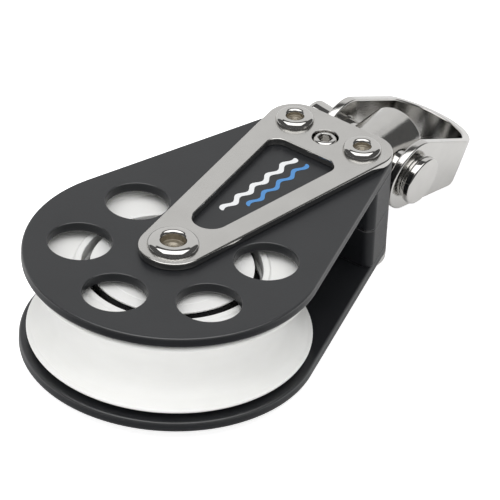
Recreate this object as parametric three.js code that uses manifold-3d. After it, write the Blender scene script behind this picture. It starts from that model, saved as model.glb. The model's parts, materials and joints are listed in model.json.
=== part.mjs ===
// Single sheave block with a swivelling shackle. Millimetres, +Z along the sheave axis, +X from
// the sheave to the shackle. The block is drawn about the sheave's centre, then moved along X so
// that the origin is the centre of the whole object's box.
import * as THREE from "three";
import { mergeVertices } from "three/addons/utils/BufferGeometryUtils.js";
import Module from "manifold-3d";

const wasm = await Module();
wasm.setup();

// ---------- driving dimensions ----------
const SHEAVE_X = -33.8;
const SHEAVE_R = 28.5;
const SHEAVE_LIP = { r: 17.6, z: 4.25, seatZ: 4.85 };
const SHEAVE_HUB = { rampR: 18.2, topR: 19.0, topZ: 7.6 };
const SHEAVE_WEB = { innerR: 19.6, outerR: 25.4, z: 7.2 };
const SHEAVE_RIM = { innerR: 26.8, outerR: 27.9, z: 7.8, shoulderZ: 7.3, mouthR: 28.2, mouthZ: 6.9 };
const GROOVE = { centreR: 30.2, r: 7.4, edgeZ: 6.3, steps: 4 };
const PLATE_INNER_Z = 8.95;
const PLATE_OUTER_Z = 11.15;
const STRAP_OUTER_Z = 12.75;
const RIVET_HEAD_HEIGHT = 1.4;
const RIM_Z = STRAP_OUTER_Z + RIVET_HEAD_HEIGHT;

const AXLE_R = 4.0;
const FIT_GAP = 0.05;
const HEAD_RIVET = { x: 51.44, y: 8.47, r: 2.9 };
const SCREW = { x: 50.4, r: 2.5, top: 12.7, shoulder: 5.7, tip: 4.35, pointR: 1.4 };
const SOCKET = { r: 1.55, depth: 2.2 };
const AXLE_HEAD = { r: 5.25, crestR: 3.3, wallR: 2.45, floorZ: 12.2 };
const SMALL_HEAD = { r: 4.0, crestR: 2.45, wallR: 1.65, floorZ: 12.9 };
const CREST_WIDTH = 0.35;
const DIMPLE_DEPTH = 0.4;

const PLATE_ROUND = { x: 0, y: 0, r: 29.86 };
const PLATE_CORNER = { x: HEAD_RIVET.x, y: HEAD_RIVET.y, r: 6.26 };
const PLATE_CHAMFER = 0.35;
const LIGHTENING = { pitchR: 18.53, r: 6.4, angles: [60, 120, 180, 240, 300] };

const STRAP_ROUND = { x: 0, y: 0, r: 6.95 };
const STRAP_CORNER = { x: 51.75, y: 8.35, r: 6.2 };
const WINDOW_ROUND = { x: 12.2, y: 0, r: 3.75 };
const WINDOW_CORNER = { x: 41.6, y: 5.45, r: 2.6 };
const STRAP_SCREW_HOLE_R = 2.75;

const BLOCK_REAR_X = 43.8;
const BLOCK_FRONT_X = 57.6;
const BLOCK_CHAMFER = 0.4;

const RACE_R = 12;
const TRACK_R = 18;
const ROLLER = { count: 12, r: 2.92, halfLength: 2.6 };
const ROLLER_PITCH_R = (RACE_R + TRACK_R) / 2;
const CAGE = { innerR: 13, outerR: 17.85, innerZ: 2.75, outerZ: 3.3, barWidth: 1.2, barDepth: 1.6 };
const RACE_END_Z = 3.45;
const RACE_RING_Z = 7.35;
const RACE_RING_R = 16.0;
const CAP = { r: 16.3, z: 7.82, bossR: 9.5 };

const SWIVEL_ANGLE = THREE.MathUtils.degToRad(8);
const SHACKLE_TILT = THREE.MathUtils.degToRad(20.2);
const POST = { r: 6.7, front: 76.4, shoulder: 58.7, stemR: 4.2, flangeR: 6.2, pinX: 68.5, rim: 0.4 };
const STEM_GROOVE = { x0: 48.8, x1: 52.0, r: 3.0 };
const FLANGE = { x0: 45.5, x1: 46.9 };
const CHAMBER = { x0: 45.3, x1: 47.6, r: 6.4 };
const STEM_BORE_R = 4.28;

const PIN = { r: 3.65, boreR: 3.72, headR: 5.3, headFace: 12.8, farEnd: 16.8, tipRound: 1.3 };
const COLLAR = { r: 4.75, width: 0.6 };
const NECK = { r: 4.05, width: 0.35 };
const BOW = {
  inner: 8.45,
  thickness: 1.8,
  crownThickness: 3,
  legLength: 18.9,
  reach: 7.47,
  shoulder: 0.3,
  nose: 0.6,
  earR: 7.75,
  taper: 7.3,
  tipX: 36,
};

// ---------- materials ----------
const material = (name, color, roughness, metalness) =>
  new THREE.MeshStandardMaterial({ name, color, roughness, metalness });
const BLACK_ANODISED = material("black_anodised", 0x303132, 0.5, 0.6);
const BLACK_ACETAL = material("black_acetal", 0x1b1c1e, 0.45, 0.0);
const WHITE_ACETAL = material("white_acetal", 0xeceded, 0.4, 0.0);
const STRAP_STEEL = material("strap_steel", 0xb8b5ae, 0.35, 1.0);
const POLISHED_STEEL = material("polished_steel", 0xc9c8c3, 0.15, 1.0);

// ---------- geometry helpers ----------
const radians = THREE.MathUtils.degToRad;

function signedVolume(geometry) {
  const position = geometry.getAttribute("position");
  const index = geometry.index;
  const count = index ? index.count : position.count;
  const corner = (i) => new THREE.Vector3().fromBufferAttribute(position, index ? index.getX(i) : i);
  let volume = 0;
  for (let i = 0; i < count; i += 3) {
    volume += corner(i).dot(corner(i + 1).cross(corner(i + 2))) / 6;
  }
  return volume;
}

// Indexed geometry with shared corners and faces turned outwards.
function closed(source) {
  const bare = new THREE.BufferGeometry();
  bare.setAttribute("position", source.getAttribute("position"));
  bare.setIndex(source.index);
  const merged = mergeVertices(bare, 1e-4);
  if (signedVolume(merged) < 0) {
    const order = merged.index.array;
    for (let i = 0; i < order.length; i += 3) {
      [order[i + 1], order[i + 2]] = [order[i + 2], order[i + 1]];
    }
  }
  return merged;
}

function solid(geometry) {
  const tidy = closed(geometry);
  return new wasm.Manifold(
    new wasm.Mesh({
      numProp: 3,
      vertProperties: new Float32Array(tidy.getAttribute("position").array),
      triVerts: new Uint32Array(tidy.index.array),
    }),
  );
}

function fromSolid(body) {
  const mesh = body.getMesh();
  const geometry = new THREE.BufferGeometry();
  geometry.setAttribute("position", new THREE.BufferAttribute(mesh.vertProperties, 3));
  geometry.setIndex(new THREE.BufferAttribute(mesh.triVerts, 1));
  return geometry;
}

function cut(geometry, tools) {
  return fromSolid(tools.reduce((body, tool) => body.subtract(solid(tool)), solid(geometry)));
}

function join(geometries) {
  return fromSolid(geometries.map(solid).reduce((body, other) => body.add(other)));
}

function common(a, b) {
  return fromSolid(solid(a).intersect(solid(b)));
}

// Solid of revolution about Z from [radius, z] pairs; a tube's profile closes on itself.
function turned(profile, segments, isTube = false) {
  const points = profile.map(([r, z]) => new THREE.Vector2(r, z));
  if (isTube) points.push(points[0].clone());
  return closed(new THREE.LatheGeometry(points, segments).rotateX(Math.PI / 2));
}

// The same profile mirrored below z = 0: the list runs from the top axis point outwards and down.
function mirroredProfile(upper) {
  const lower = upper.map(([r, z]) => [r, -z]).reverse();
  return [...upper, ...lower];
}

// Profile points along an ellipse about (r, z).
function ellipseArc(r, z, width, height, from, to, steps) {
  const points = [];
  for (let i = 0; i <= steps; i++) {
    const angle = from + ((to - from) * i) / steps;
    points.push([r + width * Math.cos(angle), z + height * Math.sin(angle)]);
  }
  return points;
}

function tube(innerR, outerR, z0, z1, segments) {
  const profile = [
    [innerR, z0],
    [outerR, z0],
    [outerR, z1],
    [innerR, z1],
  ];
  return turned(profile, segments, true);
}

function cylinder(r, z0, z1, segments) {
  return closed(
    new THREE.CylinderGeometry(r, r, z1 - z0, segments).rotateX(Math.PI / 2).translate(0, 0, (z0 + z1) / 2),
  );
}

const alongX = (geometry) => geometry.rotateY(Math.PI / 2);
const alongY = (geometry) => geometry.rotateX(-Math.PI / 2);

function arc(centre, from, to, steps) {
  const points = [];
  for (let i = 0; i <= steps; i++) {
    const angle = from + ((to - from) * i) / steps;
    const offset = new THREE.Vector2(Math.cos(angle), Math.sin(angle)).multiplyScalar(centre.r);
    points.push(offset.add(new THREE.Vector2(centre.x, centre.y)));
  }
  return points;
}

function circlePath(x, y, r, segments) {
  const points = arc({ x, y, r }, 0, 2 * Math.PI, segments).slice(0, -1);
  return new THREE.Path(points.reverse());
}

const mirrorY = (circle) => ({ x: circle.x, y: -circle.y, r: circle.r });

// Direction of the outer tangent's normal for two circles above the X axis.
function tangentAngle(first, second) {
  const dx = second.x - first.x;
  const dy = second.y - first.y;
  const lean = Math.atan2(dy, dx);
  return Math.PI / 2 + lean - Math.asin((first.r - second.r) / Math.hypot(dx, dy));
}

// Outline of a round end joined by tangents to two mirrored corner circles further along X.
function taperedOutline(round, corner, roundSteps, cornerSteps) {
  const phi = tangentAngle(round, corner);
  return [
    ...arc(corner, 0, phi, cornerSteps),
    ...arc(round, phi, 2 * Math.PI - phi, roundSteps),
    ...arc(mirrorY(corner), -phi, 0, cornerSteps),
  ];
}

function extruded(outline, holes, z0, z1, chamfer = 0) {
  const shape = new THREE.Shape(outline);
  shape.holes.push(...holes);
  const geometry = new THREE.ExtrudeGeometry(shape, {
    depth: z1 - z0 - 2 * chamfer,
    bevelEnabled: chamfer > 0,
    bevelThickness: chamfer,
    bevelSize: chamfer,
    bevelOffset: -chamfer,
    bevelSegments: 1,
    curveSegments: 1,
  });
  return closed(geometry.translate(0, 0, z0 + chamfer));
}

function named(name, geometry, look) {
  const shown = geometry.toNonIndexed();
  shown.computeVertexNormals();
  const mesh = new THREE.Mesh(shown, look);
  mesh.name = name;
  return mesh;
}

const flippedZ = (geometry) => closed(geometry.clone().scale(1, 1, -1));

// ---------- cheek plates, straps and their fasteners ----------
function headFastenerHoles(rivetR, screwR) {
  return [
    circlePath(HEAD_RIVET.x, HEAD_RIVET.y, rivetR, 16),
    circlePath(HEAD_RIVET.x, -HEAD_RIVET.y, rivetR, 16),
    circlePath(SCREW.x, 0, screwR, 16),
  ];
}

function sidePlate() {
  const outline = taperedOutline(PLATE_ROUND, PLATE_CORNER, 40, 6);
  const lightening = LIGHTENING.angles.map((degrees) => {
    const angle = radians(degrees);
    const x = LIGHTENING.pitchR * Math.cos(angle);
    const y = LIGHTENING.pitchR * Math.sin(angle);
    return circlePath(x, y, LIGHTENING.r, 20);
  });
  const small = [circlePath(0, 0, AXLE_R + 0.4, 16), ...headFastenerHoles(HEAD_RIVET.r + 0.4, SCREW.r + 0.1)];
  return extruded(outline, [...lightening, ...small], PLATE_INNER_Z, PLATE_OUTER_Z, PLATE_CHAMFER);
}

function strap() {
  const outline = taperedOutline(STRAP_ROUND, STRAP_CORNER, 16, 7);
  const holes = [
    new THREE.Path(taperedOutline(WINDOW_ROUND, WINDOW_CORNER, 14, 6).reverse()),
    circlePath(0, 0, AXLE_R + FIT_GAP, 24),
    ...headFastenerHoles(HEAD_RIVET.r + FIT_GAP, STRAP_SCREW_HOLE_R),
  ];
  return extruded(outline, holes, PLATE_OUTER_Z, STRAP_OUTER_Z);
}

// Rivet with a rolled rim round a dimpled recess in both heads.
function rivet(shankR, head, segments) {
  const roll = head.crestR - head.wallR;
  const outerR = head.crestR + CREST_WIDTH;
  return turned(
    mirroredProfile([
      [0, head.floorZ - DIMPLE_DEPTH],
      [head.wallR * 0.4, head.floorZ - DIMPLE_DEPTH],
      [head.wallR * 0.6, head.floorZ],
      [head.wallR, head.floorZ],
      ...ellipseArc(head.crestR, RIM_Z - roll, roll, roll, Math.PI, Math.PI / 2, 3),
      ...ellipseArc(outerR, STRAP_OUTER_Z, head.r - outerR, RIVET_HEAD_HEIGHT, Math.PI / 2, 0, 4),
      [shankR, STRAP_OUTER_Z],
    ]),
    segments,
  );
}

function lockScrew() {
  const body = turned(
    [
      [0, SCREW.tip],
      [SCREW.pointR - 0.2, SCREW.tip],
      [SCREW.pointR, SCREW.tip + 0.2],
      [SCREW.pointR, SCREW.shoulder],
      [SCREW.r, SCREW.shoulder + 0.4],
      [SCREW.r, SCREW.top - 0.3],
      [SCREW.r - 0.3, SCREW.top],
      [0, SCREW.top],
    ],
    20,
  );
  const socket = cylinder(SOCKET.r, SCREW.top - SOCKET.depth, SCREW.top + 1, 6);
  return cut(body, [socket]).translate(SCREW.x, 0, 0);
}

// ---------- head block: two halves clamped between the plates ----------
function blockOutline() {
  const phi = tangentAngle(PLATE_ROUND, PLATE_CORNER);
  const rear = { r: 1.8 };
  rear.x = BLOCK_REAR_X + rear.r;
  rear.y = (PLATE_ROUND.r - rear.r - rear.x * Math.cos(phi)) / Math.sin(phi);
  const front = { x: BLOCK_FRONT_X - PLATE_CORNER.r, y: 0, r: PLATE_CORNER.r };
  front.y = (PLATE_ROUND.r - front.r - front.x * Math.cos(phi)) / Math.sin(phi);
  return [
    ...arc(front, 0, phi, 8),
    ...arc(rear, phi, Math.PI, 6),
    ...arc(mirrorY(rear), Math.PI, 2 * Math.PI - phi, 6),
    ...arc(mirrorY(front), -phi, 0, 8),
  ];
}

function headBlock(hasScrewHole) {
  const rivetHoles = [HEAD_RIVET.y, -HEAD_RIVET.y].map((y) =>
    circlePath(HEAD_RIVET.x, y, HEAD_RIVET.r + FIT_GAP, 16),
  );
  const blank = extruded(blockOutline(), rivetHoles, 0, PLATE_INNER_Z, BLOCK_CHAMFER);
  const tools = [
    alongX(cylinder(STEM_BORE_R, CHAMBER.x1 - 1, BLOCK_FRONT_X + 5, 24)),
    alongX(cylinder(CHAMBER.r, CHAMBER.x0, CHAMBER.x1, 24)),
  ];
  if (hasScrewHole) tools.push(cylinder(SCREW.r + FIT_GAP, 2, 12, 20).translate(SCREW.x, 0, 0));
  return cut(blank, tools);
}

// ---------- sheave and its roller bearing ----------
// Upper half of the rope groove's arc, from its edge almost to the middle.
function grooveHalf() {
  const points = [];
  for (let i = GROOVE.steps; i > 0; i--) {
    const z = (GROOVE.edgeZ * i) / GROOVE.steps;
    points.push([GROOVE.centreR - Math.sqrt(GROOVE.r ** 2 - z ** 2), z]);
  }
  return points;
}

function sheave() {
  const upper = [
    [TRACK_R, RACE_END_Z],
    [SHEAVE_LIP.r, RACE_END_Z],
    [SHEAVE_LIP.r, SHEAVE_LIP.z],
    [TRACK_R, SHEAVE_LIP.seatZ],
    [TRACK_R, SHEAVE_HUB.topZ - 0.2],
    [SHEAVE_HUB.rampR, SHEAVE_HUB.topZ],
    [SHEAVE_HUB.topR, SHEAVE_HUB.topZ],
    [SHEAVE_WEB.innerR, SHEAVE_WEB.z],
    [SHEAVE_WEB.outerR, SHEAVE_WEB.z],
    [SHEAVE_RIM.innerR, SHEAVE_RIM.z],
    [SHEAVE_RIM.outerR, SHEAVE_RIM.z],
    [SHEAVE_R, SHEAVE_RIM.shoulderZ],
    [SHEAVE_RIM.mouthR, SHEAVE_RIM.mouthZ],
    ...grooveHalf(),
  ];
  return turned(mirroredProfile(upper), 48, true);
}

function innerRace() {
  return tube(AXLE_R + FIT_GAP, RACE_R, -RACE_END_Z, RACE_END_Z, 36);
}

function raceRing() {
  return tube(AXLE_R + FIT_GAP, RACE_RING_R, RACE_END_Z, RACE_RING_Z, 36);
}

function bearingCap() {
  return turned(
    [
      [AXLE_R + FIT_GAP, RACE_RING_Z],
      [CAP.r, RACE_RING_Z],
      [CAP.r, CAP.z - 0.3],
      [CAP.r - 0.3, CAP.z],
      [CAP.bossR, CAP.z],
      [CAP.bossR, PLATE_INNER_Z],
      [AXLE_R + FIT_GAP, PLATE_INNER_Z],
    ],
    36,
    true,
  );
}

function rollerCage() {
  const rings = [CAGE.innerZ, -CAGE.outerZ].map((z) =>
    tube(CAGE.innerR, CAGE.outerR, z, z + CAGE.outerZ - CAGE.innerZ, 36),
  );
  const bars = [];
  for (let i = 0; i < ROLLER.count; i++) {
    const bar = new THREE.BoxGeometry(CAGE.barDepth, CAGE.barWidth, 2 * CAGE.innerZ + 0.4);
    bars.push(bar.translate(ROLLER_PITCH_R, 0, 0).rotateZ(rollerAngle(i + 0.5)));
  }
  return join([...rings, ...bars]);
}

const rollerAngle = (i) => (2 * Math.PI * i) / ROLLER.count;

function roller(i) {
  const angle = rollerAngle(i);
  const x = ROLLER_PITCH_R * Math.cos(angle);
  const y = ROLLER_PITCH_R * Math.sin(angle);
  return cylinder(ROLLER.r, -ROLLER.halfLength, ROLLER.halfLength, 16).translate(x, y, 0);
}

// ---------- swivel ----------
function swivelPost() {
  const profile = [
    [0, FLANGE.x0],
    [POST.flangeR - 0.3, FLANGE.x0],
    [POST.flangeR, FLANGE.x0 + 0.3],
    [POST.flangeR, FLANGE.x1],
    [POST.stemR, FLANGE.x1],
    [POST.stemR, STEM_GROOVE.x0],
    [STEM_GROOVE.r, STEM_GROOVE.x0],
    [STEM_GROOVE.r, STEM_GROOVE.x1],
    [POST.stemR, STEM_GROOVE.x1],
    [POST.stemR, POST.shoulder],
    [POST.r - 0.3, POST.shoulder],
    [POST.r, POST.shoulder + 0.3],
    [POST.r, POST.front - POST.rim],
    [POST.r - POST.rim, POST.front],
    [0, POST.front],
  ];
  const pinBore = alongY(cylinder(PIN.boreR, -POST.r - 2, POST.r + 2, 24)).translate(POST.pinX, 0, 0);
  return cut(alongX(turned(profile, 32)), [pinBore]);
}

function swivelWasher(x0, x1, outerR) {
  return alongX(tube(STEM_BORE_R + 0.05, outerR, x0, x1, 24));
}

// ---------- shackle, modelled about its pin: +X towards the bow, +Y along the pin ----------
// One side's curve runs from the end of its leg to the middle of the crown; the other mirrors it.
function bowPlan(halfWidth, reach) {
  const tip = BOW.legLength + reach;
  const curve = new THREE.CubicBezierCurve(
    new THREE.Vector2(BOW.legLength, halfWidth),
    new THREE.Vector2(BOW.legLength + BOW.shoulder * reach, halfWidth),
    new THREE.Vector2(tip, BOW.nose * halfWidth),
    new THREE.Vector2(tip, 0),
  );
  const side = curve.getPoints(12);
  const mirrored = side.map(({ x, y }) => new THREE.Vector2(x, -y));
  return [...mirrored, ...side.reverse().slice(1)];
}

function shackleBow() {
  const outerHalf = BOW.inner + BOW.thickness;
  const back = -BOW.earR - 2;
  const plan = [
    new THREE.Vector2(back, -outerHalf),
    ...bowPlan(outerHalf, BOW.reach + BOW.crownThickness),
    new THREE.Vector2(back, outerHalf),
    new THREE.Vector2(back, BOW.inner),
    ...bowPlan(BOW.inner, BOW.reach).reverse(),
    new THREE.Vector2(back, -BOW.inner),
  ];
  const band = extruded(plan, [], -BOW.earR - 2, BOW.earR + 2);
  const lean = Math.PI / 2 - radians(BOW.taper);
  const tipHalf = BOW.earR / Math.cos(radians(BOW.taper)) - BOW.tipX * Math.tan(radians(BOW.taper));
  const side = [
    new THREE.Vector2(BOW.tipX, -tipHalf),
    new THREE.Vector2(BOW.tipX, tipHalf),
    ...arc({ x: 0, y: 0, r: BOW.earR }, lean, 2 * Math.PI - lean, 28),
  ];
  const sideBody = extruded(side, [], -outerHalf - 2, outerHalf + 2).rotateX(Math.PI / 2);
  const pinHole = alongY(cylinder(PIN.boreR, -outerHalf - 3, outerHalf + 3, 24));
  return cut(common(band, sideBody), [pinHole]);
}

function shacklePin() {
  const earFace = -BOW.inner - BOW.thickness - FIT_GAP;
  const collarBack = earFace - COLLAR.width;
  const headBack = collarBack - NECK.width;
  const round = PIN.tipRound;
  const profile = [
    [0, -PIN.headFace],
    [PIN.headR - 0.3, -PIN.headFace],
    [PIN.headR, -PIN.headFace + 0.3],
    [PIN.headR, headBack],
    [NECK.r, headBack],
    [NECK.r, collarBack],
    [COLLAR.r, collarBack],
    [COLLAR.r, earFace],
    [PIN.r, earFace],
    ...ellipseArc(PIN.r - round, PIN.farEnd - round, round, round, 0, Math.PI / 2, 2),
    [0, PIN.farEnd],
  ];
  return alongY(turned(profile, 24));
}

// ---------- assembly ----------
const block = new THREE.Group();
block.name = "single_sheave_block";
const core = new THREE.Group();
core.position.x = SHEAVE_X;
block.add(core);

const sides = { upper: (geometry) => geometry, lower: flippedZ };
for (const [side, turn] of Object.entries(sides)) {
  core.add(named(`side_plate_${side}`, turn(sidePlate()), BLACK_ANODISED));
  core.add(named(`strap_${side}`, turn(strap()), STRAP_STEEL));
  core.add(named(`head_block_${side}`, turn(headBlock(side === "upper")), BLACK_ANODISED));
  core.add(named(`race_ring_${side}`, turn(raceRing()), BLACK_ACETAL));
  core.add(named(`bearing_cap_${side}`, turn(bearingCap()), WHITE_ACETAL));
}

core.add(named("axle_rivet", rivet(AXLE_R, AXLE_HEAD, 24), POLISHED_STEEL));
for (const [side, y] of [
  ["left", HEAD_RIVET.y],
  ["right", -HEAD_RIVET.y],
]) {
  const body = rivet(HEAD_RIVET.r, SMALL_HEAD, 16).translate(HEAD_RIVET.x, y, 0);
  core.add(named(`head_rivet_${side}`, body, POLISHED_STEEL));
}
core.add(named("lock_screw", lockScrew(), POLISHED_STEEL));

core.add(named("inner_race", innerRace(), BLACK_ACETAL));
core.add(named("roller_cage", rollerCage(), BLACK_ACETAL));
for (let i = 0; i < ROLLER.count; i++) {
  core.add(named(`roller_${String(i + 1).padStart(2, "0")}`, roller(i), BLACK_ACETAL));
}
core.add(named("sheave", sheave(), WHITE_ACETAL));

const thrustWasher = swivelWasher(CHAMBER.x1 - 0.6, CHAMBER.x1 - 0.1, POST.flangeR);
core.add(named("thrust_washer", thrustWasher, WHITE_ACETAL));
const endWasher = swivelWasher(BLOCK_FRONT_X + 0.1, POST.shoulder - 0.1, 6.5);
core.add(named("swivel_washer", endWasher, BLACK_ACETAL));

const swivel = new THREE.Group();
swivel.rotation.x = SWIVEL_ANGLE;
core.add(swivel);
swivel.add(named("swivel_post", swivelPost(), POLISHED_STEEL));

const shackle = new THREE.Group();
shackle.position.x = POST.pinX;
shackle.rotation.y = SHACKLE_TILT;
swivel.add(shackle);
shackle.add(named("shackle_bow", shackleBow(), POLISHED_STEEL));
shackle.add(named("shackle_pin", shacklePin(), POLISHED_STEEL));

export default block;
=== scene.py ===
import json
import math
from collections import namedtuple

import bmesh
import bpy
from mathutils import Matrix, Vector


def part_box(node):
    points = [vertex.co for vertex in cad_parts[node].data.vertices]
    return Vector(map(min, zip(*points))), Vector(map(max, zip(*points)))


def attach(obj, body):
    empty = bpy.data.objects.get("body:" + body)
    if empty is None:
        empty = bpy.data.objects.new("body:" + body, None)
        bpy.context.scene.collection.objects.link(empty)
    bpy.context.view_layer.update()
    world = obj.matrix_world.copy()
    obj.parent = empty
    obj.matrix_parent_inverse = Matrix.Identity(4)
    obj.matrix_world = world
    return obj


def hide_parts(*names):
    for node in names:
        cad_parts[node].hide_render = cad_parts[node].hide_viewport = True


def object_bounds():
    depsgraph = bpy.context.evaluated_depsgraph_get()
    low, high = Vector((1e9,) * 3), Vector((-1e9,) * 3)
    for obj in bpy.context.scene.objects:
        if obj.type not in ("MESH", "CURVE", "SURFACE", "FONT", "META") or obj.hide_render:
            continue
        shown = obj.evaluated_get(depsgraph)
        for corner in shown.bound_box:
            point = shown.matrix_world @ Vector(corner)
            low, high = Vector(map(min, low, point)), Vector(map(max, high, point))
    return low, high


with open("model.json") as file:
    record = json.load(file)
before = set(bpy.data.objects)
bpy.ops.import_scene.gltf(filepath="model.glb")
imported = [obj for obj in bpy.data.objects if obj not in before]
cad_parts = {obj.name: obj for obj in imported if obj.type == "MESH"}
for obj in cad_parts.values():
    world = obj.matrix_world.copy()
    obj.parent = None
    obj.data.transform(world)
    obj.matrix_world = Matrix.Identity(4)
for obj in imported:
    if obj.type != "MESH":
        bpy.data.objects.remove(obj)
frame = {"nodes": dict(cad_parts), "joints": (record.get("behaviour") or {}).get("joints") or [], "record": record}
cad_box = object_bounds()

# ---------- sizes in millimetres, about the sheave's centre ----------
MM = 0.001
JOINTS = {joint["name"]: joint for joint in frame["joints"]}
CENTRE = Vector(JOINTS["sheave_spin"]["pos_m"])
BLOCK = Matrix.Translation(CENTRE) @ Matrix.Scale(MM, 4)

Circle = namedtuple("Circle", "x y r")
RivetHead = namedtuple("RivetHead", "r crest_r wall_r floor_z")
Wave = namedtuple("Wave", "start end y half_width colour")


def extent(node):
    """Lowest and highest corner of a CAD node."""
    low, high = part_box(node)
    return (low - CENTRE) / MM, (high - CENTRE) / MM


PLATE_LOW, PLATE_HIGH = extent("side_plate_upper")
STRAP_LOW, STRAP_HIGH = extent("strap_upper")
HEAD_LOW, HEAD_HIGH = extent("head_block_upper")
SCREW_LOW, SCREW_HIGH = extent("lock_screw")
POST_LOW, POST_HIGH = extent("swivel_post")
RIVET_HIGH = extent("axle_rivet")[1]

PLATE_INNER_Z = PLATE_LOW.z
PLATE_OUTER_Z = PLATE_HIGH.z
STRAP_OUTER_Z = STRAP_HIGH.z
CREST_Z = RIVET_HIGH.z

FIT_GAP = 0.05
PLATE_HOLE_GAP = 0.4
CUT_MARGIN = 2.0

# rounding radii, from sharp to soft
CRISP = 0.1
FINE = 0.15
EASED = 0.2
SOFT = 0.3
FILLET = 0.6

AXLE_R = 4.0
AXLE_BORE_R = AXLE_R + FIT_GAP
HEAD_RIVET = Circle(51.44, 8.47, 2.9)
AXLE_HEAD = RivetHead(RIVET_HIGH.x, 3.3, 2.45, 12.2)
SMALL_HEAD = RivetHead(4.0, 2.45, 1.65, 12.9)
HEAD_LIFT = 0.02
CREST_WIDTH = 0.35
DIMPLE_DEPTH = 0.4
DIMPLE_FLOOR_SHARE = 0.4
DIMPLE_TOP_SHARE = 0.6
RECESS_MARGIN = 0.05

SCREW_X = 50.4
SCREW_R = SCREW_HIGH.y
SCREW_POINT_R = 1.4
SCREW_SHOULDER = (5.7, 6.1)
SCREW_TOP_ROUND = 0.8
SCREW_EDGE = 0.25
SCREW_PLATE_GAP = 0.1
SCREW_STRAP_HOLE_R = 2.75
SOCKET_R = 1.55
SOCKET_DEPTH = 2.2

PLATE_ROUND = Circle(0.0, 0.0, PLATE_HIGH.y)
PLATE_CORNER = Circle(HEAD_RIVET.x, HEAD_RIVET.y, PLATE_HIGH.x - HEAD_RIVET.x)
PLATE_EDGE = 0.45
LIGHTENING_PITCH_R = 18.53
LIGHTENING_R = 6.4
LIGHTENING_ANGLES = (60, 120, 180, 240, 300)

STRAP_ROUND = Circle(0.0, 0.0, -STRAP_LOW.x)
STRAP_CORNER = Circle(51.75, 8.35, 6.2)
STRAP_EDGE = 0.35
STRAP_FACE_FLATNESS = 0.98
WINDOW_ROUND = Circle(12.2, 0.0, 3.75)
WINDOW_CORNER = Circle(41.6, 5.45, 2.6)

HEAD_REAR_R = 1.8
HEAD_EDGE = 0.35
STEM_BORE_R = 4.28
CHAMBER = (45.3, 47.6)
CHAMBER_R = 6.4

SHEAVE_HIGH = extent("sheave")[1]
RACE_R, _, RACE_END_Z = extent("inner_race")[1]
RACE_RING_R, _, RACE_RING_Z = extent("race_ring_upper")[1]
TRACK_R = 18.0
BORE_EDGE = 0.25
SEAT_DEPTH = 0.4
SEAT_Z = (RACE_END_Z + 0.8, RACE_END_Z + 1.4)
HUB_R = 19.2
HUB_Z = 7.6
WEB_R = (19.6, 25.4)
WEB_Z = 7.2
RIM_INNER_R = 26.8
RIM_EDGE = 0.55
MOUTH_R = 27.6
MOUTH_Z = (6.8, 6.95)
MOUTH_EDGE = 0.25
GROOVE = Circle(30.2, 0.0, 7.4)
GROOVE_EDGE_Z = 6.3
GROOVE_STEPS = 18
CAP_R = extent("bearing_cap_upper")[1].x
CAP_Z = 7.82
CAP_STEP = 0.06
CAP_DISC_R = (13.4, 13.6)
CAP_BOSS_R = 9.5
ROLLER_COUNT = 12
ROLLER_R = extent("roller_01")[1].y
ROLLER_END_Z = extent("roller_01")[1].z
ROLLER_EDGE = 0.35
CAGE_EDGE = 0.12

POST_R = 6.7
POST_SHOULDER = 58.7
POST_RIM = 0.4
STEM_R = 4.2
FLANGE_R = 6.2
FLANGE_FRONT = 46.9
STEM_GROOVE = (48.8, 52.0)
STEM_GROOVE_R = 3.0
WASHER_BORE_R = 4.33

HINGE_AXIS = Vector(JOINTS["shackle_hinge"]["axis"])
SWIVEL_ANGLE = math.atan2(HINGE_AXIS.z, HINGE_AXIS.y)
SHACKLE_TILT = math.radians(-sum(JOINTS["shackle_hinge"]["range_deg"]) / 2)
PIN_X = (Vector(JOINTS["shackle_hinge"]["pos_m"]) - CENTRE).x / MM
PIN_R = 3.65
PIN_BORE_R = 3.72
PIN_HEAD_R = 5.3
PIN_HEAD_FACE = 12.8
PIN_HEAD_ROUND = 0.45
PIN_FAR_END = 16.8
PIN_TIP_ROUND = 1.3
COLLAR_R = 4.75
COLLAR_WIDTH = 0.6
NECK_R = 4.05
NECK_WIDTH = 0.35
BOW_INNER = 8.45
BOW_THICKNESS = 1.8
BOW_OUTER = BOW_INNER + BOW_THICKNESS
BOW_CROWN = 3.0
BOW_LEG = 18.9
BOW_REACH = 7.47
BOW_SHOULDER = 0.3
BOW_NOSE = 0.6
BOW_TAPER = math.radians(7.3)
BOW_TIP_X = 36.0
BOW_EDGE = 0.4
EAR_R = 7.75

INK_DEPTH = 0.03
INK_TIP_WIDTH = 0.02
INK_SHADE = 0.86
WAVE_LENGTH = 5.0
WAVE_SWING = 0.55
WAVES = {
    "white": Wave(17.6, 42.3, 1.4, 0.62, (0.85, 0.86, 0.87)),
    "blue": Wave(22.2, 42.1, -1.7, 0.5, (0.08, 0.27, 0.60)),
}

ALONG_X = Matrix.Rotation(math.pi / 2, 4, "Y")
ALONG_Y = Matrix.Rotation(-math.pi / 2, 4, "X")
SWIVEL = BLOCK @ Matrix.Rotation(SWIVEL_ANGLE, 4, "X")
PIN_PLACE = SWIVEL @ Matrix.Translation((PIN_X, 0, 0))
SHACKLE = PIN_PLACE @ Matrix.Rotation(SHACKLE_TILT, 4, "Y")
FLIPS = {"upper": Matrix.Identity(4), "lower": Matrix.Scale(-1, 4, Vector((0, 0, 1)))}

# ---------- camera, light and floor, in metres ----------
CAMERA_PLACE = CENTRE + Vector((-0.7182, -0.5261, 0.6260))
CAMERA_AZIMUTH = math.radians(-54.75)
CAMERA_ELEVATION = math.radians(34.58)
CAMERA_ROLL = math.radians(3.167)
CAMERA_LENS = 396.08
TOWARD_CAMERA = Vector((CAMERA_PLACE - CENTRE).xy.normalized().to_3d())

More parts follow.
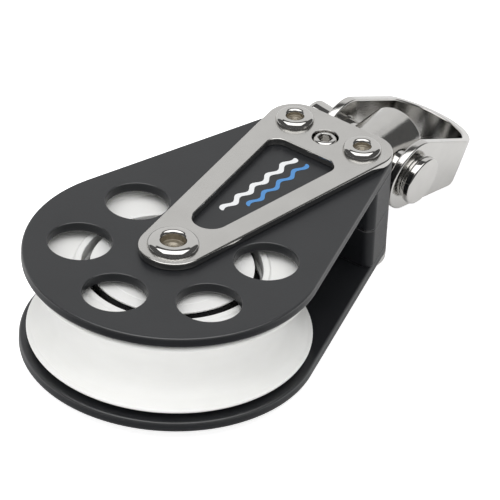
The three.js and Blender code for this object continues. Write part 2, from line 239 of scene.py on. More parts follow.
AMBIENT_FAR = 0.25
AMBIENT_NEAR = 1.2
AMBIENT_FADE = (-0.4, 0.9)
AMBIENT_AZIMUTH = math.radians(196)
BACKDROP_LIGHT = 0.8
# the backdrop's angles are in degrees
BACKDROP_AZIMUTHS = (-12, 95)
BACKDROP_TOP = 50
BACKDROP_SOFT = 1
ROOM_DARK = 0.02
ROOM_PALE = 0.22
ROOM_CLUTTER = 70
ROOM_CONTRAST = (0.38, 0.68)
OVERHEAD_RADIANCE = 1.8
OVERHEAD_SIZE = (1.6, 1.03)
OVERHEAD_HEIGHT = 1.0
OVERHEAD_SHIFT = 0.235
FLOOR_HALF = 3.0
FLOOR_GLOW = 0.8
FLOOR_SEEN = (0.9, 0.9, 0.9)
# painted shade: in reflections the floor turns this dark between these distances in metres from the sheave's axis
# towards the camera
FLOOR_PAINTED_SHADE = (0.2, 0.2, 0.2)
FLOOR_SHADE_FADE = (0.02, 0.05)


# ---------- shader helpers ----------
class Nodes:
    """A node tree, with a short call for each kind of node used here."""

    def __init__(self, tree):
        self.tree = tree

    def node(self, kind, **settings):
        made = self.tree.nodes.new(kind)
        for key, value in settings.items():
            setattr(made, key, value)
        return made

    def link(self, source, target):
        """Feed an input from a number or from another node's output."""
        if isinstance(source, (int, float)):
            target.default_value = source
        else:
            self.tree.links.new(source, target)

    def math(self, operation, *values):
        made = self.node("ShaderNodeMath", operation=operation)
        for value, target in zip(values, made.inputs):
            self.link(value, target)
        return made.outputs["Value"]

    def vector(self, operation, source, constant=(0, 0, 0)):
        made = self.node("ShaderNodeVectorMath", operation=operation)
        self.link(source, made.inputs[0])
        made.inputs[1].default_value = constant
        return made.outputs["Value" if operation in ("LENGTH", "DOT_PRODUCT") else "Vector"]

    def parts(self, source):
        made = self.node("ShaderNodeSeparateXYZ")
        self.link(source, made.inputs[0])
        return made.outputs

    def cloud(self, source, scale, detail):
        made = self.node("ShaderNodeTexNoise")
        made.inputs["Scale"].default_value = scale
        made.inputs["Detail"].default_value = detail
        self.link(source, made.inputs["Vector"])
        return made.outputs["Fac"]

    def spread(self, source, low, high, start=0.0, end=1.0):
        """Turns start to end into low to high, and clamps what lies beyond."""
        made = self.node("ShaderNodeMapRange")
        limits = {"From Min": start, "From Max": end, "To Min": low, "To Max": high}
        for name, value in limits.items():
            made.inputs[name].default_value = value
        self.link(source, made.inputs["Value"])
        return made.outputs["Result"]

    def mix(self, factor, first, second):
        """A number between two others."""
        made = self.node("ShaderNodeMix")
        self.link(factor, made.inputs[0])
        self.link(first, made.inputs[2])
        self.link(second, made.inputs[3])
        return made.outputs[0]

    def tint(self, factor, first, second):
        """A colour between two others."""
        made = self.node("ShaderNodeMix", data_type="RGBA")
        made.inputs[6].default_value = (*first, 1)
        made.inputs[7].default_value = (*second, 1)
        self.link(factor, made.inputs[0])
        return made.outputs[2]


class Look(Nodes):
    """A Principled material and the few nodes that feed it, in object coordinates."""

    def __init__(self, name, metallic, **extra):
        self.material = bpy.data.materials.new(name)
        self.material.use_nodes = True
        super().__init__(self.material.node_tree)
        self.shader = self.tree.nodes["Principled BSDF"]
        self.shader.inputs["Metallic"].default_value = metallic
        for key, value in extra.items():
            self.shader.inputs[key.replace("_", " ")].default_value = value
        self.place = self.node("ShaderNodeTexCoord").outputs["Object"]

    def feed(self, name, source):
        self.link(source, self.shader.inputs[name])

    def colours(self, factor, first, second):
        self.feed("Base Color", self.tint(factor, first, second))

    def roughness(self, factor, low, high):
        self.feed("Roughness", self.spread(factor, low, high))

    def noise(self, size_mm, detail=3, stretch=(1, 1, 1)):
        mapping = self.node("ShaderNodeMapping")
        mapping.inputs["Scale"].default_value = stretch
        self.link(self.place, mapping.inputs["Vector"])
        return self.cloud(mapping.outputs["Vector"], 1 / (size_mm * MM), detail)

    def radius(self, axis_point):
        """Distance in metres from the line along Z through a point."""
        shift = self.vector("SUBTRACT", self.place, axis_point)
        return self.vector("LENGTH", self.vector("MULTIPLY", shift, (1, 1, 0)))

    def flatness(self):
        """1 on faces that lie flat, 0 on upright ones."""
        normal = self.node("ShaderNodeTexCoord").outputs["Normal"]
        return self.math("ABSOLUTE", self.parts(normal)["Z"])

    def bump(self, height, depth_mm, strength=1.0, before=None):
        made = self.node("ShaderNodeBump")
        made.inputs["Strength"].default_value = strength
        made.inputs["Distance"].default_value = depth_mm * MM
        self.link(height, made.inputs["Height"])
        if before is not None:
            self.link(before, made.inputs["Normal"])
        self.feed("Normal", made.outputs["Normal"])
        return made.outputs["Normal"]


def black_anodised():
    """Satin on the flat faces, duller on the sawn edges and brighter on the bevels between."""
    look = Look("black_anodised", 0.0)
    flat = look.flatness()
    bevel = look.math("MULTIPLY", flat, look.math("SUBTRACT", 1.0, flat))
    bevel_gain = 5.0
    sheen = look.math("MULTIPLY_ADD", bevel, bevel_gain, look.spread(flat, 0.2, 0.55))
    look.feed("Specular IOR Level", sheen)
    look.colours(look.noise(9), (0.009, 0.0098, 0.0115), (0.016, 0.017, 0.019))
    grain = look.noise(0.35, detail=4)
    look.roughness(grain, 0.28, 0.42)
    look.bump(grain, depth_mm=0.02, strength=0.5)
    return look.material


def black_acetal():
    look = Look("black_acetal", 0.0, Base_Color=(0.008, 0.008, 0.009, 1))
    ripple = look.noise(1.2)
    look.roughness(ripple, 0.18, 0.34)
    look.bump(ripple, depth_mm=0.02, strength=0.4)
    return look.material


def white_acetal():
    """Slightly translucent, with fine turning rings."""
    look = Look(
        "white_acetal",
        0.0,
        Subsurface_Weight=0.15,
        Subsurface_Radius=(1, 1, 0.9),
        Subsurface_Scale=0.001,
    )
    cloud = look.noise(6, stretch=(1, 1, 3))
    look.colours(cloud, (0.82, 0.82, 0.80), (0.87, 0.87, 0.855))
    look.roughness(cloud, 0.32, 0.46)
    ring_pitch = 0.35 * MM
    turns = look.math("MULTIPLY", look.radius(CENTRE), 2 * math.pi / ring_pitch)
    rings = look.bump(look.math("SINE", turns), depth_mm=0.004, strength=0.35)
    look.bump(look.noise(0.6), depth_mm=0.01, strength=0.35, before=rings)
    return look.material


def brushed_steel():
    look = Look("brushed_strap", 1.0)
    look.colours(look.noise(5), (0.58, 0.57, 0.55), (0.66, 0.65, 0.63))
    grain = look.noise(0.3)
    look.roughness(grain, 0.2, 0.27)
    look.bump(grain, depth_mm=0.003, strength=0.15)
    return look.material


def bright_steel(name, dimple_mm, depth_mm, roughness):
    """Polished steel with shallow dimples."""
    look = Look(name, 1.0)
    look.colours(look.noise(3), (0.60, 0.59, 0.57), (0.68, 0.67, 0.65))
    dimples = look.noise(dimple_mm, detail=4)
    look.roughness(dimples, *roughness)
    look.bump(dimples, depth_mm)
    return look.material


def blasted_steel():
    """Dull, stained steel in the rivets' recesses."""
    look = Look("rivet_recess", 1.0)
    cloud = look.noise(0.6)
    look.colours(cloud, (0.28, 0.24, 0.18), (0.58, 0.54, 0.46))
    look.roughness(cloud, 0.4, 0.6)
    look.bump(look.noise(0.3), depth_mm=0.02, strength=0.6)
    return look.material


def ink(name, colour):
    look = Look(name, 0.0)
    grain = look.noise(0.3)
    darker = tuple(INK_SHADE * channel for channel in colour)
    look.colours(grain, darker, colour)
    look.roughness(grain, 0.32, 0.5)
    look.bump(grain, depth_mm=0.01, strength=0.3)
    return look.material


MATERIALS = {
    "black_anodised": black_anodised(),
    "black_acetal": black_acetal(),
    "white_acetal": white_acetal(),
    "brushed_strap": brushed_steel(),
    "polished_steel": bright_steel("polished_steel", 0.45, 0.0024, (0.03, 0.10)),
}
TUMBLED = bright_steel("tumbled_steel", 0.22, 0.022, (0.04, 0.12))
RECESS = blasted_steel()

# ---------- mesh helpers ----------
WELD_DISTANCE = 1e-7
ON_AXIS = 1e-6
SMOOTH_ANGLE = math.radians(35)
BEVEL_ANGLE = math.radians(40)
BEVELLED_SMOOTH_ANGLE = math.radians(50)

NODE_BODY = {
    node: body
    for body, nodes in frame["record"]["behaviour"]["bodies"].items()
    for node in nodes
}
NODE_SLOT = {part["node"]: part["material_slot"] for part in frame["record"]["subparts"]}


def new_object(name, data):
    made = bpy.data.objects.new(name, data)
    bpy.context.scene.collection.objects.link(made)
    return made


def mesh_object(name, bm, place, material):
    bm.transform(place)
    bmesh.ops.remove_doubles(bm, verts=bm.verts, dist=WELD_DISTANCE)
    bmesh.ops.recalc_face_normals(bm, faces=bm.faces)
    mesh = bpy.data.meshes.new(name)
    bm.to_mesh(mesh)
    bm.free()
    mesh.shade_smooth()
    mesh.set_sharp_from_angle(angle=SMOOTH_ANGLE)
    mesh.materials.append(material)
    return new_object(name, mesh)


def apply_modifiers(target):
    depsgraph = bpy.context.evaluated_depsgraph_get()
    finished = bpy.data.meshes.new_from_object(target.evaluated_get(depsgraph))
    target.modifiers.clear()
    target.data = finished


def combine(target, operation, *others):
    """Subtract other objects from the target, or keep what it shares with them."""
    for other in others:
        modifier = target.modifiers.new("combine", "BOOLEAN")
        modifier.operation = operation
        modifier.solver = "EXACT"
        modifier.object = other
    apply_modifiers(target)
    for other in others:
        bpy.data.objects.remove(other)


def soften(target, width_mm, segments=4):
    """Round the target's sharp edges."""
    bevel = target.modifiers.new("edge", "BEVEL")
    bevel.width = width_mm * MM
    bevel.segments = segments
    bevel.limit_method = "ANGLE"
    bevel.angle_limit = BEVEL_ANGLE
    bevel.use_clamp_overlap = False
    apply_modifiers(target)
    target.data.shade_smooth()
    target.data.set_sharp_from_angle(angle=BEVELLED_SMOOTH_ANGLE)


def stand_in(made, node):
    """The finished piece joins the CAD node's body, and the CAD node is hidden."""
    made.modifiers.new("normals", "WEIGHTED_NORMAL").keep_sharp = True
    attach(made, NODE_BODY[node])
    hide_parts(node)
    return made


def blank(node, bm, place, material=None):
    """A node's finer mesh, still to be cut or softened."""
    return mesh_object(f"{node}.fine", bm, place, material or MATERIALS[NODE_SLOT[node]])


def piece(node, bm, place=BLOCK):
    return stand_in(blank(node, bm, place), node)


def rounded(points, cyclic=False, steps=5):
    """Polyline whose corners are rounded; a point is (x, y) or (x, y, radius)."""
    result = []
    count = len(points)
    for i, point in enumerate(points):
        here = Vector(point[:2])
        radius = point[2] if len(point) > 2 else 0
        if radius == 0 or (not cyclic and i in (0, count - 1)):
            result.append(here)
            continue
        before = (Vector(points[i - 1][:2]) - here).normalized()
        after = (Vector(points[(i + 1) % count][:2]) - here).normalized()
        half = before.angle(after) / 2
        reach = radius / math.tan(half)
        centre = here + (before + after).normalized() * (radius / math.sin(half))
        first = here + before * reach - centre
        last = here + after * reach - centre
        for k in range(steps + 1):
            result.append(centre + first.lerp(last, k / steps).normalized() * radius)
    return result


def lathe(profile, segments=96, cyclic=False):
    """Surface of revolution about Z from (radius, z) points."""
    bm = bmesh.new()
    rings = []
    turn = [2 * math.pi * k / segments for k in range(segments)]
    for r, z in profile:
        if r < ON_AXIS:
            rings.append([bm.verts.new((0, 0, z))])
        else:
            rings.append([bm.verts.new((r * math.cos(a), r * math.sin(a), z)) for a in turn])
    pairs = list(zip(rings, rings[1:]))
    if cyclic:
        pairs.append((rings[-1], rings[0]))
    for lower, upper in pairs:
        for k in range(segments):
            n = (k + 1) % segments
            corners = (
                lower[k % len(lower)],
                lower[n % len(lower)],
                upper[n % len(upper)],
                upper[k % len(upper)],
            )
            bm.faces.new(dict.fromkeys(corners))
    return bm


def both_halves(upper):
    """A profile and its mirror image below z = 0."""
    return list(upper) + [(r, -z, *rest) for r, z, *rest in reversed(upper)]


def tube(inner, outer, z0, z1, edge=FINE):
    corners = [(inner, z0, edge), (outer, z0, edge), (outer, z1, edge), (inner, z1, edge)]
    return lathe(rounded(corners, cyclic=True, steps=3), cyclic=True)


def arc(circle, start, end, steps):
    """Contour points (x, y, normal x, normal y) along an arc."""
    result = []
    for k in range(steps + 1):
        a = start + (end - start) * k / steps
        x = circle.x + circle.r * math.cos(a)
        y = circle.y + circle.r * math.sin(a)
        result.append((x, y, math.cos(a), math.sin(a)))
    return result


def mirror_y(circle):
    return Circle(circle.x, -circle.y, circle.r)


def tangent_angle(first, second):
    """Direction of the outer tangent's normal for two circles above the X axis."""
    dx = second.x - first.x
    dy = second.y - first.y
    return math.pi / 2 + math.atan2(dy, dx) - math.asin((first.r - second.r) / math.hypot(dx, dy))


def tapered(end, corner, end_steps=96, corner_steps=20):
    """Round end joined by tangents to two mirrored corner circles further along X."""
    phi = tangent_angle(end, corner)
    return (
        arc(corner, 0, phi, corner_steps)
        + arc(end, phi, 2 * math.pi - phi, end_steps)
        + arc(mirror_y(corner), -phi, 0, corner_steps)
    )


def hole(contour):
    """The same contour as the edge of a hole: its normals point out of the material."""
    return [(x, y, -nx, -ny) for x, y, nx, ny in contour]


def round_hole(x, y, r, steps=48):
    return hole(arc(Circle(x, y, r), 0, 2 * math.pi, steps)[:-1])


def slab(contours, z0, z1, steps=4):
    """Plate with rounded edges, from (contour, edge radius) pairs; a contour is a closed list of
    (x, y, normal x, normal y)."""
    quarter = [math.pi / 2 * k / steps for k in range(steps + 1)]
    bm = bmesh.new()
    caps = ([], [])
    for contour, edge in contours:
        section = [(edge * (1 - math.sin(t)), z1 - edge * (1 - math.cos(t))) for t in quarter]
        section += [(inset, z0 + z1 - z) for inset, z in reversed(section)]
        rings = []
        for inset, z in section:
            ring = [(x - nx * inset, y - ny * inset, z) for x, y, nx, ny in contour]
            rings.append([bm.verts.new(point) for point in ring])
        count = len(contour)
        for upper, lower in zip(rings, rings[1:]):
            for k in range(count):
                n = (k + 1) % count
                bm.faces.new((upper[k], upper[n], lower[n], lower[k]))
        for cap, ring in zip(caps, (rings[0], rings[-1])):
            cap += [bm.edges.get((ring[k], ring[(k + 1) % count])) for k in range(count)]
    for cap in caps:
        bmesh.ops.triangle_fill(bm, use_beauty=True, edges=cap)
    return bm


def prism(points, place_point, start, end):
    """Closed prism from 2-D points, each turned into 3-D by place_point(u, v, depth)."""
    bm = bmesh.new()
    near = [bm.verts.new(place_point(u, v, start)) for u, v in points]
    far = [bm.verts.new(place_point(u, v, end)) for u, v in points]
    bm.faces.new(near)
    bm.faces.new(reversed(far))
    for k in range(len(points)):
        n = (k + 1) % len(points)
        bm.faces.new((near[k], near[n], far[n], far[k]))
    return bm


def cutter(r, z0, z1, place, segments=64):
    """Plain cylinder to cut a hole with; its material never shows."""
    profile = [(0, z0), (r, z0), (r, z1), (0, z1)]
    return mesh_object("cutter", lathe(profile, segments), place, MATERIALS["black_acetal"])


# ---------- cheek plates and straps ----------
def small_holes(axle_r, rivet_r, screw_r):
    """Holes for the axle, the two head rivets and the lock screw, with their edge radius."""
    holes = [
        round_hole(0, 0, axle_r),
        round_hole(HEAD_RIVET.x, HEAD_RIVET.y, rivet_r),
        round_hole(HEAD_RIVET.x, -HEAD_RIVET.y, rivet_r),
        round_hole(SCREW_X, 0, screw_r),
    ]
    return [(contour, FINE) for contour in holes]


def side_plate():
    contours = [(tapered(PLATE_ROUND, PLATE_CORNER, end_steps=160), PLATE_EDGE)]
    for degrees in LIGHTENING_ANGLES:
        a = math.radians(degrees)
        x = LIGHTENING_PITCH_R * math.cos(a)
        y = LIGHTENING_PITCH_R * math.sin(a)
        contours.append((round_hole(x, y, LIGHTENING_R, steps=64), SOFT))
    contours += small_holes(
        AXLE_R + PLATE_HOLE_GAP,
        HEAD_RIVET.r + PLATE_HOLE_GAP,
        SCREW_R + SCREW_PLATE_GAP,
    )
    return slab(contours, PLATE_INNER_Z, PLATE_OUTER_Z)


def strap():
    outline = tapered(STRAP_ROUND, STRAP_CORNER, end_steps=64)
    window = hole(tapered(WINDOW_ROUND, WINDOW_CORNER, end_steps=40))
    contours = [(outline, STRAP_EDGE), (window, SOFT)]
    contours += small_holes(AXLE_BORE_R, HEAD_RIVET.r + FIT_GAP, SCREW_STRAP_HOLE_R)
    return slab(contours, PLATE_OUTER_Z, STRAP_OUTER_Z)


def polish_edges(made):
    """Polished steel on every face that isn't flat on top or underneath."""
    made.data.materials.append(MATERIALS["polished_steel"])
    for face in made.data.polygons:
        if abs(face.normal.z) < STRAP_FACE_FLATNESS:
            face.material_index = 1


# ---------- rivets and lock screw ----------
def ellipse_arc(r, z, width, height, start, end, steps=12):
    """Profile points along an ellipse about (r, z)."""
    turn = [start + (end - start) * k / steps for k in range(steps + 1)]
    return [(r + width * math.cos(a), z + height * math.sin(a)) for a in turn]


def rivet_profile(shank_r, head):
    """A rolled rim round a dimpled recess, at both ends of the shank."""
    roll = head.crest_r - head.wall_r
    outer_r = head.crest_r + CREST_WIDTH
    foot_z = STRAP_OUTER_Z + HEAD_LIFT
    upper = [
        (0, head.floor_z - DIMPLE_DEPTH),
        (head.wall_r * DIMPLE_FLOOR_SHARE, head.floor_z - DIMPLE_DEPTH, SOFT),
        (head.wall_r * DIMPLE_TOP_SHARE, head.floor_z, SOFT),
        (head.wall_r, head.floor_z, FINE),
    ]
    upper += ellipse_arc(head.crest_r, CREST_Z - roll, roll, roll, math.pi, math.pi / 2)
    upper += ellipse_arc(outer_r, foot_z, head.r - outer_r, CREST_Z - foot_z, math.pi / 2, 0)
    upper.append((shank_r, foot_z))
    return rounded(both_halves(upper), steps=7)


def rivet(node, x, y, shank_r, head):
    """A rivet whose recesses are duller than the rest."""
    place = BLOCK @ Matrix.Translation((x, y, 0))
    made = piece(node, lathe(rivet_profile(shank_r, head), segments=64), place)
    made.data.materials.append(RECESS)
    axis = CENTRE + Vector((x, y, 0)) * MM
    for face in made.data.polygons:
        away = (face.center - axis) / MM
        if away.xy.length < head.wall_r + RECESS_MARGIN:
            face.material_index = 1


def lock_screw():
    shoulder_low, shoulder_high = SCREW_SHOULDER
    profile = [
        (0, SCREW_LOW.z),
        (SCREW_POINT_R, SCREW_LOW.z, EASED),
        (SCREW_POINT_R, shoulder_low, CRISP),
        (SCREW_R, shoulder_high, CRISP),
        (SCREW_R, SCREW_HIGH.z, SCREW_TOP_ROUND),
        (0, SCREW_HIGH.z),
    ]
    place = BLOCK @ Matrix.Translation((SCREW_X, 0, 0))
    body = blank("lock_screw", lathe(rounded(profile), segments=64), place)
    floor_z = SCREW_HIGH.z - SOCKET_DEPTH
    top_z = SCREW_HIGH.z + CUT_MARGIN
    combine(body, "DIFFERENCE", cutter(SOCKET_R, floor_z, top_z, place, segments=6))
    soften(body, SCREW_EDGE)
    stand_in(body, "lock_screw")


# ---------- head block ----------
def head_outline():
    """The plates' tangent sides, closed by two rear corners and two front ones."""
    phi = tangent_angle(PLATE_ROUND, PLATE_CORNER)

    def corner(x, r):
        y = (PLATE_ROUND.r - r - x * math.cos(phi)) / math.sin(phi)
        return Circle(x, y, r)

    rear = corner(HEAD_LOW.x + HEAD_REAR_R, HEAD_REAR_R)
    front = corner(HEAD_HIGH.x - PLATE_CORNER.r, PLATE_CORNER.r)
    return (
        arc(front, 0, phi, steps=24)
        + arc(rear, phi, math.pi, steps=16)
        + arc(mirror_y(rear), math.pi, 2 * math.pi - phi, steps=16)
        + arc(mirror_y(front), -phi, 0, steps=24)
    )


def head_block(side):
    node = f"head_block_{side}"
    contours = [(head_outline(), HEAD_EDGE)]
    for y in (HEAD_RIVET.y, -HEAD_RIVET.y):
        contours.append((round_hole(HEAD_RIVET.x, y, HEAD_RIVET.r + FIT_GAP), FINE))
    made = blank(node, slab(contours, 0, PLATE_INNER_Z), BLOCK @ FLIPS[side])
    along = BLOCK @ ALONG_X
    rear, front = CHAMBER
    cutters = [
        cutter(STEM_BORE_R, (rear + front) / 2, HEAD_HIGH.x + CUT_MARGIN, along),
        cutter(CHAMBER_R, rear, front, along),
    ]
    if side == "upper":
        place = BLOCK @ Matrix.Translation((SCREW_X, 0, 0))
        cutters.append(cutter(SCREW_R + FIT_GAP, STEM_BORE_R / 2, PLATE_OUTER_Z, place))
    combine(made, "DIFFERENCE", *cutters)
    stand_in(made, node)


# ---------- sheave and bearing ----------
def sheave():
    upper = [
        (TRACK_R, RACE_END_Z),
        (TRACK_R - SEAT_DEPTH, RACE_END_Z, CRISP),
        (TRACK_R - SEAT_DEPTH, SEAT_Z[0], CRISP),
        (TRACK_R, SEAT_Z[1], SOFT),
        (TRACK_R, HUB_Z, BORE_EDGE),
        (HUB_R, HUB_Z, SOFT),
        (WEB_R[0], WEB_Z, SOFT),
        (WEB_R[1], WEB_Z, FILLET),
        (RIM_INNER_R, SHEAVE_HIGH.z, FILLET),
        (SHEAVE_HIGH.x, SHEAVE_HIGH.z, RIM_EDGE),
        (SHEAVE_HIGH.x, MOUTH_Z[1], MOUTH_EDGE),
        (MOUTH_R, MOUTH_Z[0], EASED),
    ]
    for k in range(GROOVE_STEPS, 0, -1):
        z = GROOVE_EDGE_Z * k / GROOVE_STEPS
        upper.append((GROOVE.x - math.sqrt(GROOVE.r**2 - z**2), z))
    return lathe(rounded(both_halves(upper)), segments=160, cyclic=True)


def bearing_cap():
    """White disc with a slightly raised middle and a boss against the plate."""
    disc_r, step_r = CAP_DISC_R
    profile = [
        (AXLE_BORE_R, RACE_RING_Z),
        (CAP_R, RACE_RING_Z, CRISP),
        (CAP_R, CAP_Z - CAP_STEP, FINE),
        (step_r, CAP_Z - CAP_STEP, EASED),
        (disc_r, CAP_Z, EASED),
        (CAP_BOSS_R, CAP_Z, EASED),
        (CAP_BOSS_R, PLATE_INNER_Z, EASED),
        (AXLE_BORE_R, PLATE_INNER_Z),
    ]
    return lathe(rounded(profile), cyclic=True)


def roller(angle):
    upper = [(0, ROLLER_END_Z), (ROLLER_R, ROLLER_END_Z, ROLLER_EDGE)]
    bm = lathe(rounded(both_halves(upper)), segments=40)
    pitch = (RACE_R + TRACK_R) / 2
    bm.transform(Matrix.Translation((pitch * math.cos(angle), pitch * math.sin(angle), 0)))
    return bm


def roller_cage():
    """A copy of the CAD cage with its edges eased."""
    source = frame["nodes"]["roller_cage"].data
    bm = bmesh.new()
    corners = [bm.verts.new(vertex.co) for vertex in source.vertices]
    for face in source.polygons:
        bm.faces.new([corners[k] for k in face.vertices])
    made = blank("roller_cage", bm, Matrix.Identity(4))
    bevel = made.modifiers.new("edge", "BEVEL")
    bevel.width = CAGE_EDGE * MM
    bevel.segments = 2
    bevel.limit_method = "ANGLE"
    apply_modifiers(made)
    stand_in(made, "roller_cage")


def washer(node, edge):
    """A ring round the stem, as wide and as thick as its CAD node."""
    low, high = extent(node)
    piece(node, tube(WASHER_BORE_R, high.y, low.x, high.x, edge), BLOCK @ ALONG_X)


# ---------- swivel and shackle ----------
def swivel_post():
    rear = POST_LOW.x
    front = POST_HIGH.x
    groove_rear, groove_front = STEM_GROOVE
    profile = [
        (0, rear),
        (FLANGE_R, rear, SOFT),
        (FLANGE_R, FLANGE_FRONT, CRISP),
        (STEM_R, FLANGE_FRONT, CRISP),
        (STEM_R, groove_rear, CRISP),
        (STEM_GROOVE_R, groove_rear, EASED),
        (STEM_GROOVE_R, groove_front, EASED),
        (STEM_R, groove_front, CRISP),
        (STEM_R, POST_SHOULDER, CRISP),
        (POST_R, POST_SHOULDER, SOFT),
        (POST_R, front, POST_RIM),
        (0, front),
    ]
    body = blank("swivel_post", lathe(rounded(profile)), SWIVEL @ ALONG_X, TUMBLED)
    end = POST_R + CUT_MARGIN
    combine(body, "DIFFERENCE", cutter(PIN_BORE_R, -end, end, PIN_PLACE @ ALONG_Y))
    soften(body, EASED, segments=2)
    stand_in(body, "swivel_post")


def bow_plan(half_width, reach, steps=40):
    """From one leg round the crown to the other; each side is a cubic curve."""
    tip = BOW_LEG + reach
    ends = (
        Vector((BOW_LEG, half_width)),
        Vector((BOW_LEG + BOW_SHOULDER * reach, half_width)),
        Vector((tip, BOW_NOSE * half_width)),
        Vector((tip, 0)),
    )
    side = []
    for k in range(steps + 1):
        t = k / steps
        weights = ((1 - t) ** 3, 3 * t * (1 - t) ** 2, 3 * t**2 * (1 - t), t**3)
        point = sum((w * end for w, end in zip(weights, ends)), Vector((0, 0)))
        side.append((point.x, point.y))
    return [(x, -y) for x, y in side] + side[::-1][1:]


def shackle_bow():
    """What the bent band, drawn from above, shares with its tapered outline, drawn from the side."""
    past_ear = EAR_R + CUT_MARGIN
    past_leg = BOW_OUTER + CUT_MARGIN
    plan = (
        [(-past_ear, -BOW_OUTER)]
        + bow_plan(BOW_OUTER, BOW_REACH + BOW_CROWN)
        + [(-past_ear, BOW_OUTER), (-past_ear, BOW_INNER)]
        + bow_plan(BOW_INNER, BOW_REACH)[::-1]
        + [(-past_ear, -BOW_INNER)]
    )
    band = prism(plan, lambda u, v, w: (u, v, w), -past_ear, past_ear)
    lean = math.pi / 2 - BOW_TAPER
    tip = EAR_R / math.cos(BOW_TAPER) - BOW_TIP_X * math.tan(BOW_TAPER)
    ear = arc(Circle(0, 0, EAR_R), lean, 2 * math.pi - lean, steps=72)
    outline = [(BOW_TIP_X, -tip), (BOW_TIP_X, tip)] + [point[:2] for point in ear]
    side = prism(outline, lambda u, v, w: (u, w, v), -past_leg, past_leg)
    made = blank("shackle_bow", band, SHACKLE, TUMBLED)
    combine(made, "INTERSECT", mesh_object("side", side, SHACKLE, TUMBLED))
    combine(made, "DIFFERENCE", cutter(PIN_BORE_R, -past_leg, past_leg, SHACKLE @ ALONG_Y))
    soften(made, BOW_EDGE)
    stand_in(made, "shackle_bow")


def shackle_pin():
    """Head, neck and collar outside one ear, then a plain shank past the other."""
    collar_end = -BOW_OUTER - FIT_GAP
    neck_end = collar_end - COLLAR_WIDTH
    head_end = neck_end - NECK_WIDTH
    profile = [
        (0, -PIN_HEAD_FACE),
        (PIN_HEAD_R, -PIN_HEAD_FACE, PIN_HEAD_ROUND),
        (PIN_HEAD_R, head_end, FINE),
        (NECK_R, head_end, CRISP),
        (NECK_R, neck_end, CRISP),
        (COLLAR_R, neck_end, FINE),
        (COLLAR_R, collar_end, CRISP),
        (PIN_R, collar_end),
        (PIN_R, PIN_FAR_END, PIN_TIP_ROUND),
        (0, PIN_FAR_END),
    ]
    piece("shackle_pin", lathe(rounded(profile), segments=80), SHACKLE @ ALONG_Y)


# ---------- printed mark: two plain wave bands ----------
def wave_band(name, wave, steps=120):
    """Thin ink layer following a sine wave along X, with round ends."""
    top = []
    bottom = []
    for k in range(steps + 1):
        x = wave.start + (wave.end - wave.start) * k / steps
        from_end = max(0.0, min(x - wave.start, wave.end - x))
        slope = max(0.0, 1 - from_end / wave.half_width)
        width = max(wave.half_width * math.sqrt(1 - slope**2), INK_TIP_WIDTH)
        middle = wave.y + WAVE_SWING * math.sin(2 * math.pi * (x - wave.start) / WAVE_LENGTH)
        top.append((x, middle + width))
        bottom.append((x, middle - width))
    bm = bmesh.new()
    layers = []
    for z in (PLATE_OUTER_Z, PLATE_OUTER_Z + INK_DEPTH):
        layers.append([[bm.verts.new((px, py, z)) for px, py in row] for row in (bottom, top)])
    (low_bottom, low_top), (high_bottom, high_top) = layers
    walls = (
        (high_bottom, high_top),
        (low_top, low_bottom),
        (low_bottom, high_bottom),
        (high_top, low_top),
    )
    for first, second in walls:
        for k in range(steps):
            bm.faces.new((first[k], first[k + 1], second[k + 1], second[k]))
    for k in (0, steps):
        bm.faces.new((low_bottom[k], high_bottom[k], high_top[k], low_top[k]))
    made = mesh_object(f"printed_wave_{name}", bm, BLOCK, ink(f"ink_{name}", wave.colour))
    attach(made, "frame")


# ---------- assembly ----------
for side, flip in FLIPS.items():
    place = BLOCK @ flip
    piece(f"side_plate_{side}", side_plate(), place)
    polish_edges(piece(f"strap_{side}", strap(), place))
    head_block(side)
    piece(f"race_ring_{side}", tube(AXLE_BORE_R, RACE_RING_R, RACE_END_Z, RACE_RING_Z), place)
    piece(f"bearing_cap_{side}", bearing_cap(), place)

rivet("axle_rivet", 0.0, 0.0, AXLE_R, AXLE_HEAD)
rivet("head_rivet_left", HEAD_RIVET.x, HEAD_RIVET.y, HEAD_RIVET.r, SMALL_HEAD)
rivet("head_rivet_right", HEAD_RIVET.x, -HEAD_RIVET.y, HEAD_RIVET.r, SMALL_HEAD)
lock_screw()

piece("inner_race", tube(AXLE_BORE_R, RACE_R, -RACE_END_Z, RACE_END_Z))
roller_cage()
for index in range(ROLLER_COUNT):
    piece(f"roller_{index + 1:02d}", roller(2 * math.pi * index / ROLLER_COUNT))
piece("sheave", sheave())

washer("thrust_washer", CRISP)
washer("swivel_washer", EASED)
swivel_post()
shackle_bow()
shackle_pin()

for name, wave in WAVES.items():
    wave_band(name, wave)


# ---------- floor, light and camera ----------
def floor():
    """Pale floor; in reflections it darkens from the block towards the camera, a painted shade standing in for the
    shadow in front of the block.
    """
    bm = bmesh.new()
    bmesh.ops.create_grid(bm, x_segments=1, y_segments=1, size=FLOOR_HALF)
    look = Look("studio_floor", 0.0, Emission_Color=(1, 1, 1, 1))
    look.roughness(look.noise(40, detail=2), 0.5, 0.7)
    path = look.node("ShaderNodeLightPath").outputs
    look.feed("Emission Strength", look.spread(path["Is Camera Ray"], 0.0, FLOOR_GLOW))
    # painted shade: glossy rays see the floor darker in front of the block, diffuse rays see it pale
    along = look.vector("DOT_PRODUCT", look.place, TOWARD_CAMERA)
    start, end = (CENTRE.dot(TOWARD_CAMERA) + reach for reach in FLOOR_SHADE_FADE)
    ahead = look.spread(along, 0.0, 1.0, start, end)
    look.colours(look.math("MULTIPLY", ahead, path["Is Glossy Ray"]), FLOOR_SEEN, FLOOR_PAINTED_SHADE)
    place = Matrix.Translation((0, 0, cad_box[0][2]))
    mesh_object("studio_floor", bm, place, look.material)


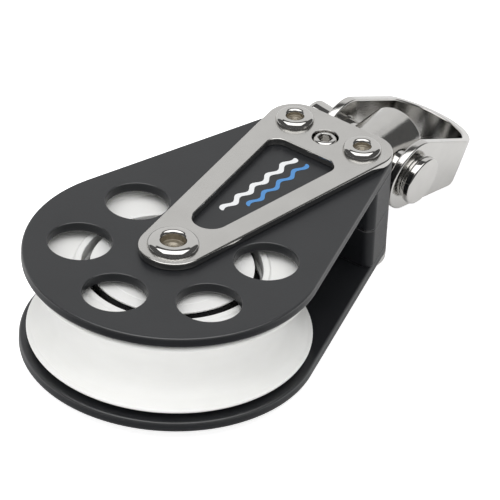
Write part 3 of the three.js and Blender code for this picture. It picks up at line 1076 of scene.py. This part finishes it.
def overhead_softbox():
    """Rectangular light parallel to the floor, a little towards the camera."""
    light = bpy.data.lights.new("overhead_softbox", "AREA")
    light.shape = "RECTANGLE"
    light.size, light.size_y = OVERHEAD_SIZE
    light.energy = OVERHEAD_RADIANCE * math.pi * light.size * light.size_y
    made = new_object("overhead_softbox", light)
    made.location = CENTRE + TOWARD_CAMERA * OVERHEAD_SHIFT + Vector((0, 0, OVERHEAD_HEIGHT))
    made.rotation_euler.z = math.atan2(TOWARD_CAMERA.y, TOWARD_CAMERA.x) + math.pi / 2


def studio_world():
    """What the steel reflects: a pale backdrop ahead of the camera and a dim, cluttered room
    elsewhere. Matt surfaces get soft light, stronger from behind the camera and a little to its
    left, and the camera sees plain white."""
    world = bpy.data.worlds.new("studio")
    bpy.context.scene.world = world
    world.use_nodes = True
    sky = Nodes(world.node_tree)
    toward = sky.node("ShaderNodeTexCoord").outputs["Generated"]
    parts = sky.parts(toward)
    azimuth = sky.math("ARCTAN2", parts["Y"], parts["X"])
    elevation = sky.math("ARCSINE", parts["Z"])

    def above(angle, limit):
        """1 where an angle is above a limit in degrees, 0 where it is below."""
        start = math.radians(limit - BACKDROP_SOFT)
        end = math.radians(limit + BACKDROP_SOFT)
        return sky.spread(angle, 0.0, 1.0, start, end)

    clutter = sky.cloud(toward, ROOM_CLUTTER, detail=2)
    room = sky.spread(clutter, ROOM_DARK, ROOM_PALE, *ROOM_CONTRAST)
    low, high = (above(azimuth, limit) for limit in BACKDROP_AZIMUTHS)
    under = sky.math("SUBTRACT", 1.0, above(elevation, BACKDROP_TOP))
    backdrop = sky.math("MULTIPLY", sky.math("SUBTRACT", low, high), under)
    reflected = sky.mix(backdrop, room, BACKDROP_LIGHT)
    facing = (math.cos(AMBIENT_AZIMUTH), math.sin(AMBIENT_AZIMUTH), 0)
    near = sky.vector("DOT_PRODUCT", toward, facing)
    soft = sky.spread(near, AMBIENT_FAR, AMBIENT_NEAR, *AMBIENT_FADE)
    path = sky.node("ShaderNodeLightPath").outputs
    value = sky.mix(path["Is Glossy Ray"], soft, reflected)
    value = sky.mix(path["Is Camera Ray"], value, 1.0)
    sky.link(value, sky.tree.nodes["Background"].inputs["Color"])


def camera():
    data = bpy.data.cameras.new("camera")
    data.sensor_width = 36
    data.lens = CAMERA_LENS
    data.clip_start = 0.05
    data.clip_end = 50
    made = new_object("camera", data)
    turn = Matrix.Rotation(CAMERA_AZIMUTH, 4, "Z")
    tip = Matrix.Rotation(math.pi / 2 - CAMERA_ELEVATION, 4, "X")
    roll = Matrix.Rotation(CAMERA_ROLL, 4, "Z")
    made.matrix_world = Matrix.Translation(CAMERA_PLACE) @ turn @ tip @ roll
    bpy.context.scene.camera = made


floor()
studio_world()
overhead_softbox()
camera()
bpy.context.scene.view_settings.view_transform = "Standard"
